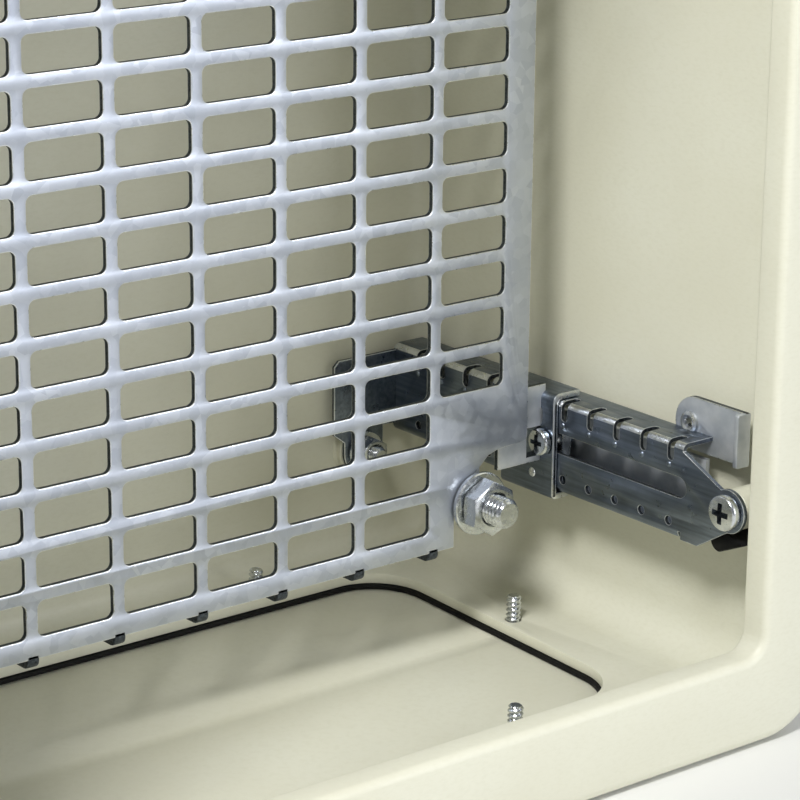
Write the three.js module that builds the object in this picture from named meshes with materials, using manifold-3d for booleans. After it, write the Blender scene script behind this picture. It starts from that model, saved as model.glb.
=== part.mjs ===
// Wall enclosure with a perforated mounting plate that slides in depth on four side slides.
// Millimetres, +Z up, open front towards -Y, origin at the middle of the bottom of the whole.
// The pieces are laid out with the back wall's outside at Y = 0 and Z = 0 half-way up, then moved.

import * as THREE from 'three';
import { mergeVertices } from 'three/addons/utils/BufferGeometryUtils.js';
import Module from 'manifold-3d';

const wasm = await Module();
wasm.setup();

// ---------------------------------------------------------------- driving dimensions

const GAP = 0.3; // clearance kept between pieces that touch

// Slotted plate
const PITCH_X = 30;
const PITCH_Z = 15;
const SLOT_X = 26;
const SLOT_Z = 11;
const COLUMNS = 8;
const ROWS = 22;
const PLATE_THICK = 2;
const SIDE_BORDER = 11;
const END_BORDER = 6.5;
const PLATE_FRONT = -90; // Y of the plate's front face
const GUSSET_ROWS = 3; // slot rows left solid in each corner column

// Moulded tub
const WALL = 3.5;
const DEPTH = 190;
const INNER_X = 153.5; // half width inside, at the back wall
const INNER_Z = 199; // half height inside, at the back wall
const DRAFT = 6; // the side walls spread by this much from back to front
const RIM_DEPTH = 10;
const RIM_OUT = 10; // the rim stands out past the inside of the walls by this much
const RIM_OPEN_X = 140; // half width and half height of the front opening inside the rim
const RIM_OPEN_Z = 185.5;
const RIM_OPEN_RADIUS = 7;
const COVE = 6;

// Gland opening in the floor
const OPENING_X = 244;
const OPENING_Y = 124;
const OPENING_RADIUS = 20;
const OPENING_REAR = -25;
const GLAND_MARGIN = 12;
const GLAND_SCREW_X = 70; // screws of the opening's long sides, each way from the middle
const GLAND_THICK = 2.5;
const GASKET_THICK = 1.5;
const GASKET_LIP = 1.2;

// Slides and carriages
const RAIL_THICK = 1.5;
const RAIL_HEIGHT = 31.5;
const RAIL_FLANGE = 13;
const RAIL_LOW_FLANGE = 13;
const RAIL_LIP = 24;
const RAIL_BEND = 2.5;
const RAIL_STEP = 12.5; // one depth step
const RAIL_STEPS = 11;
const CARRIAGE_THICK = 2;
const CARRIAGE_BEND = 2.6;
const CARRIAGE_AHEAD = 4;
const CARRIAGE_BEHIND = 22;

const COLOURS = {
  polyester: 0xd2d0b8,
  galvanised: 0xa9adb2,
  slide: 0x6c747a,
  zinc: 0xd4d7d8,
  rubber: 0x141514,
};

// ---------------------------------------------------------------- places worked out from them

const plateHalfX = (COLUMNS * PITCH_X) / 2 - (PITCH_X - SLOT_X) / 2 + SIDE_BORDER;
const plateHalfZ = (ROWS * PITCH_Z) / 2 - (PITCH_Z - SLOT_Z) / 2 + END_BORDER;
const plateBack = PLATE_FRONT + PLATE_THICK;
const railX = plateHalfX + 10; // the slide web's face towards the middle
const railLow = -plateHalfZ + 11.5;
const railTop = railLow + RAIL_HEIGHT;
const clampZ = railLow + 17;
const clampY = PLATE_FRONT + 1;
const noseY = PLATE_FRONT - 82.5;
const noseZ = railLow + 15;
const shoulderY = PLATE_FRONT - 62; // the channel's front end, where the nose starts
const studX = plateHalfX - 21;
const studZ = -plateHalfZ + 13.5;
const rearStudX = railX - 14;
const rearStudZ = railLow - 4.5;
const padFace = -WALL - 3.5; // front of the moulded pads on the back wall
const footFace = padFace - GAP - RAIL_THICK;
const frontHalfX = INNER_X + DRAFT;
const frontHalfZ = INNER_Z + DRAFT;
const rimBack = RIM_DEPTH - DEPTH;
const draftAngle = Math.atan(DRAFT / (-WALL - rimBack));
const overallHalfZ = frontHalfZ + RIM_OUT;

// ---------------------------------------------------------------- solids and booleans

function solidOf(geometry) {
  const bare = geometry.clone();
  bare.deleteAttribute('normal');
  bare.deleteAttribute('uv');
  const merged = mergeVertices(bare, 1e-4);
  const vertProperties = new Float32Array(merged.attributes.position.array);
  const triVerts = new Uint32Array(merged.index.array);
  return new wasm.Manifold(new wasm.Mesh({ numProp: 3, vertProperties, triVerts }));
}

function geometryOf(solid) {
  const { vertProperties, triVerts } = solid.getMesh();
  const geometry = new THREE.BufferGeometry();
  geometry.setAttribute('position', new THREE.BufferAttribute(new Float32Array(vertProperties), 3));
  geometry.setIndex(new THREE.BufferAttribute(new Uint32Array(triVerts), 1));
  const faceted = geometry.toNonIndexed();
  faceted.computeVertexNormals();
  return faceted;
}

function box(x0, x1, y0, y1, z0, z1) {
  const geometry = new THREE.BoxGeometry(x1 - x0, y1 - y0, z1 - z0);
  geometry.translate((x0 + x1) / 2, (y0 + y1) / 2, (z0 + z1) / 2);
  return solidOf(geometry);
}

// Cylinders along one axis, from one end to the other
function rodX(radius, x0, x1, y, z, sides = 14) {
  const geometry = new THREE.CylinderGeometry(radius, radius, x1 - x0, sides);
  geometry.rotateZ(Math.PI / 2);
  geometry.translate((x0 + x1) / 2, y, z);
  return solidOf(geometry);
}

function rodY(radius, y0, y1, x, z, sides = 14) {
  const geometry = new THREE.CylinderGeometry(radius, radius, y1 - y0, sides);
  geometry.translate(x, (y0 + y1) / 2, z);
  return solidOf(geometry);
}

function rodZ(radius, z0, z1, x, y, sides = 12) {
  const geometry = new THREE.CylinderGeometry(radius, radius, z1 - z0, sides);
  geometry.rotateX(Math.PI / 2);
  geometry.translate(x, y, (z0 + z1) / 2);
  return solidOf(geometry);
}

// Flat pieces cut from an outline: the outline is drawn in two axes and thickened along the third
function extruded(shape, depth) {
  return new THREE.ExtrudeGeometry(shape, { depth, bevelEnabled: false, curveSegments: 6 });
}

function sheetXZ(shape, yFront, thick) {
  const geometry = extruded(shape, thick);
  geometry.rotateX(Math.PI / 2);
  geometry.translate(0, yFront + thick, 0);
  return solidOf(geometry);
}

function sheetYZ(shape, xLow, thick) {
  const geometry = extruded(shape, thick);
  geometry.rotateY(Math.PI / 2);
  geometry.rotateX(Math.PI / 2);
  geometry.translate(xLow, 0, 0);
  return solidOf(geometry);
}

function outline(points) {
  return new THREE.Shape(points.map(([u, v]) => new THREE.Vector2(u, v)));
}

function roundedRect(halfU, halfV, radius, steps = 4) {
  const points = [];
  const corners = [[1, 1, 0], [-1, 1, 1], [-1, -1, 2], [1, -1, 3]];
  for (const [su, sv, quarter] of corners) {
    for (let i = 0; i <= steps; i += 1) {
      const angle = (quarter + i / steps) * (Math.PI / 2);
      const u = su * (halfU - radius) + radius * Math.cos(angle);
      const v = sv * (halfV - radius) + radius * Math.sin(angle);
      points.push([u, v]);
    }
  }
  return points;
}

// A solid through rounded rectangles that lie one behind the other along Y
function loftY(sections) {
  const rings = sections.map((s) => roundedRect(s.halfX, s.halfZ, s.radius));
  const count = rings[0].length;
  const positions = [];
  rings.forEach((ring, k) => ring.forEach(([x, z]) => positions.push(x, sections[k].y, z)));
  const index = [];
  for (let k = 0; k < rings.length - 1; k += 1) {
    for (let i = 0; i < count; i += 1) {
      const a = k * count + i;
      const b = k * count + ((i + 1) % count);
      index.push(a, b, a + count, b, b + count, a + count);
    }
  }
  const last = (rings.length - 1) * count;
  for (let i = 1; i < count - 1; i += 1) {
    index.push(0, i + 1, i);
    index.push(last, last + i, last + i + 1);
  }
  const geometry = new THREE.BufferGeometry();
  geometry.setAttribute('position', new THREE.Float32BufferAttribute(positions, 3));
  geometry.setIndex(index);
  return solidOf(geometry);
}

// ---------------------------------------------------------------- scene graph

const enclosure = new THREE.Group();
const centred = new THREE.Group();
centred.position.set(0, DEPTH / 2, overallHalfZ);
enclosure.add(centred);

function material(colour, roughness, metalness) {
  return new THREE.MeshStandardMaterial({ color: colour, roughness, metalness });
}

const finishes = {
  polyester: () => material(COLOURS.polyester, 0.5, 0),
  galvanised: () => material(COLOURS.galvanised, 0.45, 0.9),
  slide: () => material(COLOURS.slide, 0.4, 0.9),
  zinc: () => material(COLOURS.zinc, 0.28, 1),
  rubber: () => material(COLOURS.rubber, 0.8, 0),
};

function addPiece(name, solid, finish, parent = centred) {
  const mesh = new THREE.Mesh(geometryOf(solid), finishes[finish]());
  mesh.name = name;
  parent.add(mesh);
}

// Every corner of the plate has the same hardware, drawn at the lower right and mirrored
const corners = [
  { name: 'right_lower', side: 1, up: 1 },
  { name: 'left_lower', side: -1, up: 1 },
  { name: 'right_upper', side: 1, up: -1 },
  { name: 'left_upper', side: -1, up: -1 },
];

function atCorner(solid, corner) {
  return solid.scale([corner.side, 1, corner.up]);
}

function allCorners(solid) {
  return wasm.Manifold.union(corners.map((corner) => atCorner(solid, corner)));
}

// ---------------------------------------------------------------- enclosure body

// How far the walls have spread at a place along Y
function spreadAt(y) {
  return (DRAFT * (-WALL - y)) / (-WALL - rimBack);
}

function tubSections(thickness, backY, radiusBack, radiusFront, frontY) {
  const sections = [];
  const steps = 2;
  for (let i = 0; i <= steps; i += 1) {
    const angle = (i / steps) * (Math.PI / 2);
    const y = backY - COVE * (1 - Math.cos(angle));
    const inset = COVE * (1 - Math.sin(angle));
    const grow = spreadAt(y) + thickness - inset;
    sections.push({ y, halfX: INNER_X + grow, halfZ: INNER_Z + grow, radius: radiusBack });
  }
  const grow = spreadAt(frontY) + thickness;
  sections.push({ y: frontY, halfX: INNER_X + grow, halfZ: INNER_Z + grow, radius: radiusFront });
  return sections;
}

// The floor slopes with the draft, so the gland opening is laid out in a frame that slopes with it
const floorMiddleY = OPENING_REAR - OPENING_Y / 2;
const floorOuterZ = -(INNER_Z + WALL + spreadAt(floorMiddleY));

function onFloor(solid) {
  return solid.rotate([(draftAngle * 180) / Math.PI, 0, 0]).translate([0, floorMiddleY, floorOuterZ]);
}

function floorSlab(halfX, halfY, radius, zLow, zHigh) {
  const shape = outline(roundedRect(halfX, halfY, radius));
  const geometry = extruded(shape, zHigh - zLow);
  geometry.translate(0, 0, zLow);
  return solidOf(geometry);
}

const glandEdgeX = OPENING_X / 2 + 5;
const glandEdgeY = OPENING_Y / 2 + 5;
const glandScrews = [
  [glandEdgeX, 0],
  [-glandEdgeX, 0],
  [GLAND_SCREW_X, glandEdgeY],
  [-GLAND_SCREW_X, glandEdgeY],
  [GLAND_SCREW_X, -glandEdgeY],
  [-GLAND_SCREW_X, -glandEdgeY],
];

function glandScrewHoles(zLow, zHigh) {
  return wasm.Manifold.union(glandScrews.map(([x, y]) => rodZ(2.8, zLow, zHigh, x, y)));
}

function slabY(y0, y1, halfX, halfZ, radius) {
  return loftY([{ y: y1, halfX, halfZ, radius }, { y: y0, halfX, halfZ, radius }]);
}

function enclosureBody() {
  const outer = loftY(tubSections(WALL, 0, 14, 20, rimBack - 1));
  const rim = slabY(-DEPTH, rimBack, frontHalfX + RIM_OUT, overallHalfZ, 26);
  const hollow = loftY(tubSections(0, -WALL, 10, 16, rimBack));
  const mouth = slabY(-DEPTH - 1, rimBack + 1, RIM_OPEN_X, RIM_OPEN_Z, RIM_OPEN_RADIUS);
  let tub = outer.add(rim).subtract(hollow).subtract(mouth);

  // Pads for the rear studs and bosses for the front screws
  const pad = rodY(9, padFace, -WALL + 1, rearStudX, rearStudZ);
  const boss = rodX(6.5, railX + RAIL_THICK + GAP, frontHalfX + 1, noseY, noseZ);
  tub = tub.add(allCorners(pad)).add(allCorners(boss));
  const studHole = rodY(3 + GAP, padFace - 1, -2, rearStudX, rearStudZ, 12);
  const screwHole = rodX(2.5 + GAP, railX, INNER_X, noseY, noseZ, 12);
  tub = tub.subtract(allCorners(studHole)).subtract(allCorners(screwHole));

  const opening = floorSlab(OPENING_X / 2, OPENING_Y / 2, OPENING_RADIUS, -5, WALL + 5);
  const holes = glandScrewHoles(-5, WALL + 5);
  return tub.subtract(onFloor(opening)).subtract(onFloor(holes));
}

addPiece('enclosure_body', enclosureBody(), 'polyester');

// ---------------------------------------------------------------- gland plate, gasket and screws

const gasketLow = -GAP - GASKET_THICK;
const glandTop = gasketLow - GAP;
const glandLow = glandTop - GLAND_THICK;
const glandHalfX = OPENING_X / 2 + GLAND_MARGIN;
const glandHalfY = OPENING_Y / 2 + GLAND_MARGIN;

function glandPlate() {
  const slab = floorSlab(glandHalfX, glandHalfY, OPENING_RADIUS + GLAND_MARGIN, glandLow, glandTop);
  return onFloor(slab.subtract(glandScrewHoles(glandLow - 1, glandTop + 1)));
}

function glandGasket() {
  const ring = floorSlab(glandHalfX, glandHalfY, OPENING_RADIUS + GLAND_MARGIN, gasketLow, -GAP);
  const hole = floorSlab(
    OPENING_X / 2 - GASKET_LIP,
    OPENING_Y / 2 - GASKET_LIP,
    OPENING_RADIUS - GASKET_LIP,
    gasketLow - 1,
    1,
  );
  return onFloor(ring.subtract(hole).subtract(glandScrewHoles(gasketLow - 1, 1)));
}

function glandScrew([x, y]) {
  const head = rodZ(4.4, glandLow - GAP - 2.2, glandLow - GAP, x, y);
  const shank = rodZ(2.45, glandLow - GAP - 1, WALL + 9, x, y);
  return onFloor(head.add(shank));
}

addPiece('gland_plate', glandPlate(), 'polyester');
addPiece('gland_gasket', glandGasket(), 'rubber');
glandScrews.forEach((place, i) => addPiece(`gland_screw_${i + 1}`, glandScrew(place), 'zinc'));

// ---------------------------------------------------------------- slotted mounting plate

function slotCutter(x, z) {
  const halfX = SLOT_X / 2;
  const halfZ = SLOT_Z / 2;
  return box(x - halfX, x + halfX, PLATE_FRONT - 1, plateBack + 1, z - halfZ, z + halfZ);
}

// One quarter of the plate's edge, from the bottom strip round the notched corner to the side edge
function cornerEdge() {
  const notchRadius = 9.5;
  const stripX = studX - notchRadius;
  const points = [[stripX, -plateHalfZ]];
  const steps = 4;
  for (let i = 0; i <= steps; i += 1) {
    const angle = Math.PI - (i / steps) * THREE.MathUtils.degToRad(78);
    points.push([studX + notchRadius * Math.cos(angle), studZ + notchRadius * Math.sin(angle)]);
  }
  points.push([studX + 4.5, studZ + 15]);
  points.push([studX + 12, studZ + 16.5]);
  points.push([plateHalfX - 1.5, studZ + 16.8]);
  points.push([plateHalfX, studZ + 18.5]);
  return points;
}

function plateOutline() {
  const lowerRight = cornerEdge();
  const upperRight = lowerRight.map(([x, z]) => [x, -z]).reverse();
  const upperLeft = lowerRight.map(([x, z]) => [-x, -z]);
  const lowerLeft = lowerRight.map(([x, z]) => [-x, z]).reverse();
  return [...lowerRight, ...upperRight, ...upperLeft, ...lowerLeft];
}

function mountingPlate() {
  const slots = [];
  for (let column = 0; column < COLUMNS; column += 1) {
    for (let row = 0; row < ROWS; row += 1) {
      const cornerColumn = column === 0 || column === COLUMNS - 1;
      const cornerRow = row < GUSSET_ROWS || row >= ROWS - GUSSET_ROWS;
      if (!(cornerColumn && cornerRow)) {
        const x = (column - (COLUMNS - 1) / 2) * PITCH_X;
        const z = (row - (ROWS - 1) / 2) * PITCH_Z;
        slots.push(slotCutter(x, z));
      }
    }
  }
  const blank = sheetXZ(outline(plateOutline()), PLATE_FRONT, PLATE_THICK);
  const sheet = blank.subtract(wasm.Manifold.union(slots));

  // A short finger at the end of each upright web, turned back at the plate's two ends
  const fingers = [];
  const halfWeb = (PITCH_X - SLOT_X) / 2;
  for (let web = 1; web < COLUMNS; web += 1) {
    const x = (web - COLUMNS / 2) * PITCH_X;
    const drop = box(x - halfWeb, x + halfWeb, PLATE_FRONT, plateBack, -plateHalfZ - 3, 1 - plateHalfZ);
    const turned = box(
      x - halfWeb, x + halfWeb, PLATE_FRONT + 0.5, plateBack + 5, -plateHalfZ - 3, -plateHalfZ - 1,
    );
    const finger = drop.add(turned);
    fingers.push(finger, finger.scale([1, 1, -1]));
  }
  return wasm.Manifold.union([sheet, ...fingers]);
}

addPiece('mounting_plate', mountingPlate(), 'galvanised');

// ---------------------------------------------------------------- slides

// The slide's cross-section in X and Z: two flanges towards the wall and a lip up the back
function slideSection() {
  const bendX = railX + RAIL_BEND;
  const inner = railX + RAIL_THICK;
  const lipX = railX + RAIL_LOW_FLANGE;
  const points = [[lipX, railLow]];
  const steps = 2;
  for (let i = 0; i <= steps; i += 1) {
    const angle = -Math.PI / 2 - (i / steps) * (Math.PI / 2);
    points.push([bendX + RAIL_BEND * Math.cos(angle), railLow + RAIL_BEND * (1 + Math.sin(angle))]);
  }
  for (let i = 0; i <= steps; i += 1) {
    const angle = Math.PI - (i / steps) * (Math.PI / 2);
    points.push([bendX + RAIL_BEND * Math.cos(angle), railTop - RAIL_BEND * (1 - Math.sin(angle))]);
  }
  points.push([railX + RAIL_FLANGE, railTop], [railX + RAIL_FLANGE, railTop - RAIL_THICK]);
  points.push([bendX, railTop - RAIL_THICK], [inner, railTop - RAIL_BEND]);
  points.push([inner, railLow + RAIL_BEND], [bendX, railLow + RAIL_THICK]);
  points.push([lipX - RAIL_THICK, railLow + RAIL_THICK], [lipX - RAIL_THICK, railLow + RAIL_LIP]);
  points.push([lipX, railLow + RAIL_LIP]);
  return outline(points.reverse());
}

function slotYZ(y0, y1, z, radius) {
  const points = [];
  const steps = 4;
  for (let i = 0; i <= steps; i += 1) {
    const angle = -Math.PI / 2 + (i / steps) * Math.PI;
    points.push([y1 - radius + radius * Math.cos(angle), z + radius * Math.sin(angle)]);
  }
  for (let i = 0; i <= steps; i += 1) {
    const angle = Math.PI / 2 + (i / steps) * Math.PI;
    points.push([y0 + radius + radius * Math.cos(angle), z + radius * Math.sin(angle)]);
  }
  return outline(points);
}

const stepPlaces = Array.from({ length: RAIL_STEPS }, (_, k) => PLATE_FRONT - 56.5 + k * RAIL_STEP);

function slideNose() {
  const radius = 7;
  const points = [[shoulderY + 8, railLow], [shoulderY + 8, railTop], [shoulderY, railTop]];
  const steps = 4;
  for (let i = 0; i <= steps; i += 1) {
    const angle = THREE.MathUtils.degToRad(62 + (i / steps) * 208);
    points.push([noseY + radius * Math.cos(angle), noseZ + radius * Math.sin(angle)]);
  }
  points.push([shoulderY - 7.5, railLow]);
  return sheetYZ(outline(points), railX, RAIL_THICK);
}

// The lug stands on the flange's far edge, near the wall: its rear end is round, its front turned
function slideLug() {
  const radius = 8.7;
  const rearY = PLATE_FRONT - 53.6;
  const frontY = PLATE_FRONT - 76;
  const middleZ = railTop + 2.2;
  const points = [[frontY, middleZ - radius]];
  const steps = 5;
  for (let i = 0; i <= steps; i += 1) {
    const angle = -Math.PI / 2 + (i / steps) * Math.PI;
    points.push([rearY + radius * Math.cos(angle), middleZ + radius * Math.sin(angle)]);
  }
  points.push([frontY, middleZ + radius]);
  const eyeletX = railX + RAIL_FLANGE - 0.8;
  const lugX = railX + RAIL_FLANGE - 0.2;
  const plate = sheetYZ(outline(points), lugX, 2.2);
  const low = middleZ - radius;
  const end = box(lugX - 3.4, lugX + 2.2, frontY - 0.2, frontY + 1.8, low, middleZ + radius);
  return plate.add(end).add(rodX(3.8, eyeletX, eyeletX + 2, rearY + 2, middleZ, 12));
}

// The foot turns in at the back wall, with a round ear down to the rear stud
function slideFoot() {
  const ear = 8.5;
  const left = railX - 27;
  const points = [
    [railX + RAIL_THICK, railTop - 2], [left, railTop - 2], [left, railLow + 3],
    [rearStudX - ear, rearStudZ + 4],
  ];
  const steps = 5;
  for (let i = 0; i <= steps; i += 1) {
    const angle = Math.PI + (i / steps) * Math.PI;
    points.push([rearStudX + ear * Math.cos(angle), rearStudZ + ear * Math.sin(angle)]);
  }
  points.push([rearStudX + ear, railLow + 3], [railX + RAIL_THICK, railLow + 3]);
  return sheetXZ(outline(points), footFace, RAIL_THICK);
}

function slide() {
  const rearY = footFace + RAIL_THICK;
  const channel = extruded(slideSection(), rearY - shoulderY);
  channel.rotateX(Math.PI / 2);
  channel.translate(0, rearY, 0);
  let rail = solidOf(channel).add(slideNose()).add(slideLug()).add(slideFoot());

  const cuts = [];
  cuts.push(sheetYZ(slotYZ(PLATE_FRONT - 64, PLATE_FRONT + 50, clampZ, 3.4), railX - 1, RAIL_THICK + 2));
  for (const y of stepPlaces) {
    cuts.push(box(railX - 1, railX + 6.5, y - 1.4, y + 1.4, railTop - 6.5, railTop + 1));
    cuts.push(rodX(1.5, railX - 1, railX + RAIL_THICK + 1, y, railLow + 5, 6));
  }
  cuts.push(rodX(2.5 + GAP, railX - 1, railX + RAIL_THICK + 1, noseY, noseZ, 12));
  cuts.push(rodY(3 + GAP, footFace - 1, rearY + 1, rearStudX, rearStudZ, 12));
  rail = rail.subtract(wasm.Manifold.union(cuts));
  return rail;
}

// Fasteners of a slide: the front screw points to the wall, the rear stud stands on the back wall
function frontScrew() {
  const underHead = railX - GAP;
  const head = rodX(5.8, underHead - 3.4, underHead, noseY, noseZ);
  const shank = rodX(2.5, underHead - 1, INNER_X - 2, noseY, noseZ, 12);
  return head.add(shank);
}

function hexNut(acrossFlats, y0, y1, x, z, bore) {
  const cornerRadius = acrossFlats / Math.sqrt(3);
  const hexagon = new THREE.CylinderGeometry(cornerRadius, cornerRadius, y1 - y0, 6);
  hexagon.translate(x, (y0 + y1) / 2, z);
  return solidOf(hexagon).subtract(rodY(bore, y0 - 1, y1 + 1, x, z, 12));
}

function washer(radius, y0, y1, x, z, bore) {
  return rodY(radius, y0, y1, x, z, 18).subtract(rodY(bore, y0 - 1, y1 + 1, x, z, 12));
}

const rearWasherFace = footFace - GAP - 1.2;
const rearNutFace = rearWasherFace - GAP - 5;

function rearStud() {
  return rodY(3, rearNutFace - 3, -2 - GAP, rearStudX, rearStudZ, 12);
}

function rearWasher() {
  return washer(7, rearWasherFace, footFace - GAP, rearStudX, rearStudZ, 3 + GAP);
}

function rearNut() {
  return hexNut(10, rearNutFace, rearWasherFace - GAP, rearStudX, rearStudZ, 3 + GAP);
}

// The black plug sits under the nose, between the slide and the wall
function nosePlug() {
  const radius = 3.8;
  const y = noseY + 5.5;
  const z = noseZ - 11.5;
  const points = [];
  const steps = 6;
  for (let i = 0; i <= steps; i += 1) {
    const angle = THREE.MathUtils.degToRad(-90 + (i / steps) * 200);
    points.push([y + radius * Math.cos(angle), z + radius * Math.sin(angle)]);
  }
  points.push([y - 11, z + 1.5]);
  return sheetYZ(outline(points), railX + 2, 12);
}

// ---------------------------------------------------------------- carriages

// The carriage wraps the slide: a side cheek, a lip over the flange and a lip under the web
function carriage() {
  const y0 = PLATE_FRONT - CARRIAGE_AHEAD;
  const y1 = PLATE_FRONT + CARRIAGE_BEHIND;
  const outerX = railX - GAP - CARRIAGE_THICK;
  const innerX = railX - GAP;
  const topZ = railTop + GAP + CARRIAGE_THICK;
  const lowZ = railLow - GAP - CARRIAGE_THICK;
  const profile = [
    [outerX, lowZ], [railX + 5, lowZ], [railX + 5, railLow - GAP], [innerX, railLow - GAP],
    [innerX, railTop - 1], [innerX + 1.2, railTop + GAP], [railX + 9, railTop + GAP], [railX + 9, topZ],
  ];
  const steps = 2;
  for (let i = 0; i <= steps; i += 1) {
    const angle = Math.PI / 2 + (i / steps) * (Math.PI / 2);
    profile.push([
      outerX + CARRIAGE_BEND * (1 + Math.cos(angle)),
      topZ - CARRIAGE_BEND * (1 - Math.sin(angle)),
    ]);
  }
  const sleeve = sheetXZ(outline(profile), y0, y1 - y0);

  // The foot lies behind the plate's corner and carries the large stud on a round ear
  const ear = 8;
  const earPoints = [];
  for (let i = 0; i <= 6; i += 1) {
    const angle = THREE.MathUtils.degToRad(140 + (i / 6) * 220);
    earPoints.push([studX + ear * Math.cos(angle), studZ + ear * Math.sin(angle)]);
  }
  const footOutline = [
    [innerX, studZ + 8], [innerX, studZ + 34], [studX - 14, studZ + 34], [studX - 14, studZ + 14],
    ...earPoints,
    [studX + ear, studZ + 5], [studX + 3, studZ + 9], [studX + 2, studZ + 17], [studX + 10.5, studZ + 17],
    [studX + 10.5, studZ + 8],
  ];
  const foot = sheetXZ(outline(footOutline), plateBack + GAP, CARRIAGE_THICK);
  const pip = rodX(1.8, outerX - 1, outerX + 0.5, PLATE_FRONT + 6, railLow + 5, 12);
  const holes = [
    rodX(3 + GAP, outerX - 1, innerX + 1, clampY, clampZ, 12),
    rodX(5.2, outerX - 6, outerX, clampY, clampZ, 12),
    rodY(5 + GAP, plateBack, plateBack + 4, studX, studZ, 12),
    box(outerX - 1, innerX + 0.1, PLATE_FRONT + 1.5, PLATE_FRONT + 17, railTop - 9, railTop - 3.2),
  ];
  return sleeve.add(foot).add(pip).subtract(wasm.Manifold.union(holes));
}

// Clamp screw and its square nut: they pinch the cheek against the slide through the long slot
function clampScrew() {
  const underHead = railX - 2 * GAP - CARRIAGE_THICK;
  const head = rodX(4.6, underHead - 3, underHead, clampY, clampZ);
  return head.add(rodX(3, underHead - 1, railX + 9, clampY, clampZ, 12));
}

function clampNut() {
  const x0 = railX + RAIL_THICK + GAP;
  const block = box(x0, x0 + 4, clampY - 5, clampY + 5, clampZ - 5, clampZ + 5);
  return block.subtract(rodX(3 + GAP, x0 - 1, x0 + 5, clampY, clampZ, 12));
}

// Large stud with a washer that reaches over the rim of the plate's notch, and its nut
const washerFace = PLATE_FRONT - GAP - 2;
const nutFace = washerFace - GAP - 6.4;

function plateStud() {
  const footBack = plateBack + GAP + CARRIAGE_THICK;
  const head = rodY(7.5, footBack + GAP, footBack + GAP + 3, studX, studZ);
  return head.add(rodY(5, nutFace - 7, footBack + GAP + 1, studX, studZ));
}

function plateWasher() {
  return washer(10.5, washerFace, PLATE_FRONT - GAP, studX, studZ, 5 + GAP);
}

function plateNut() {
  return hexNut(16, nutFace, washerFace - GAP, studX, studZ, 5 + GAP);
}

// ---------------------------------------------------------------- corner hardware

const cornerPieces = [
  ['slide', slide(), 'slide'],
  ['front_screw', frontScrew(), 'zinc'],
  ['rear_stud', rearStud(), 'zinc'],
  ['rear_washer', rearWasher(), 'zinc'],
  ['rear_nut', rearNut(), 'zinc'],
  ['nose_plug', nosePlug(), 'rubber'],
  ['carriage', carriage(), 'galvanised'],
  ['clamp_screw', clampScrew(), 'zinc'],
  ['clamp_nut', clampNut(), 'zinc'],
  ['plate_stud', plateStud(), 'zinc'],
  ['plate_washer', plateWasher(), 'zinc'],
  ['plate_nut', plateNut(), 'zinc'],
];

for (const corner of corners) {
  for (const [name, solid, finish] of cornerPieces) {
    addPiece(`${name}_${corner.name}`, atCorner(solid, corner), finish);
  }
}

export default enclosure;
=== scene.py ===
import math

import bmesh
import bpy
from mathutils import Matrix, Vector


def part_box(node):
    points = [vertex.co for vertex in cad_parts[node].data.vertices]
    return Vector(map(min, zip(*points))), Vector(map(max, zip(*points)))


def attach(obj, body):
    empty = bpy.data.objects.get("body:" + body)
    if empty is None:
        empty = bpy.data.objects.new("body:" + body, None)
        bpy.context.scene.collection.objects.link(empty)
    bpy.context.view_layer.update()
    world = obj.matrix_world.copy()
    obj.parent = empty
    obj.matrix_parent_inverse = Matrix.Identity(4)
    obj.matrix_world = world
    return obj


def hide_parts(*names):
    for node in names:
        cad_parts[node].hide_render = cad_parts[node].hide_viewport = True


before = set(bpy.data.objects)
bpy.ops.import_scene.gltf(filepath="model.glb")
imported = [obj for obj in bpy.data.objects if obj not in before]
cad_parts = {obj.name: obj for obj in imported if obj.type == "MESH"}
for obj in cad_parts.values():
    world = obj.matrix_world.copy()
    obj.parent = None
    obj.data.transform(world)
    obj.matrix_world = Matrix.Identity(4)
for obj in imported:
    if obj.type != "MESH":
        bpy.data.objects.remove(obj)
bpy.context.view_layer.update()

# ---------------------------------------------------------------- drawing frame
# The drawing is in millimetres: X to the right, Y = 0 at the back wall's outside with the open
# front towards -Y, Z = 0 half-way up.

TUB_LOW, TUB_HIGH = (Vector(corner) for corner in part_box("enclosure_body"))
DRAWING_ORIGIN = Vector((0, TUB_HIGH.y, (TUB_LOW.z + TUB_HIGH.z) / 2))
TO_SCENE = Matrix.Translation(DRAWING_ORIGIN) @ Matrix.Scale(0.001, 4)

CORNERS = {
    "right_lower": (1, 1),
    "left_lower": (-1, 1),
    "right_upper": (1, -1),
    "left_upper": (-1, -1),
}


def drawn(x, y, z):
    """A place on the drawing, in the scene."""
    return TO_SCENE @ Vector((x, y, z))


# ---------------------------------------------------------------- camera and studio

camera = bpy.data.objects.new("camera", bpy.data.cameras.new("camera"))
bpy.context.scene.collection.objects.link(camera)
bpy.context.scene.camera = camera
camera.data.sensor_width = 36
camera.data.lens = 132.2
camera.data.clip_start = 0.01
camera.data.clip_end = 50
LOOK_RIGHT = math.radians(38.78)
LOOK_DOWN = math.radians(16.95)
CAMERA_ROLL = math.radians(0.5)
look = Vector(
    (
        math.sin(LOOK_RIGHT) * math.cos(LOOK_DOWN),
        math.cos(LOOK_RIGHT) * math.cos(LOOK_DOWN),
        -math.sin(LOOK_DOWN),
    )
)
turn = look.to_track_quat("-Z", "Y").to_matrix().to_4x4() @ Matrix.Rotation(CAMERA_ROLL, 4, "Z")
camera.matrix_world = Matrix.Translation(drawn(-474.7, -775.0, 152.3)) @ turn


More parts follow.
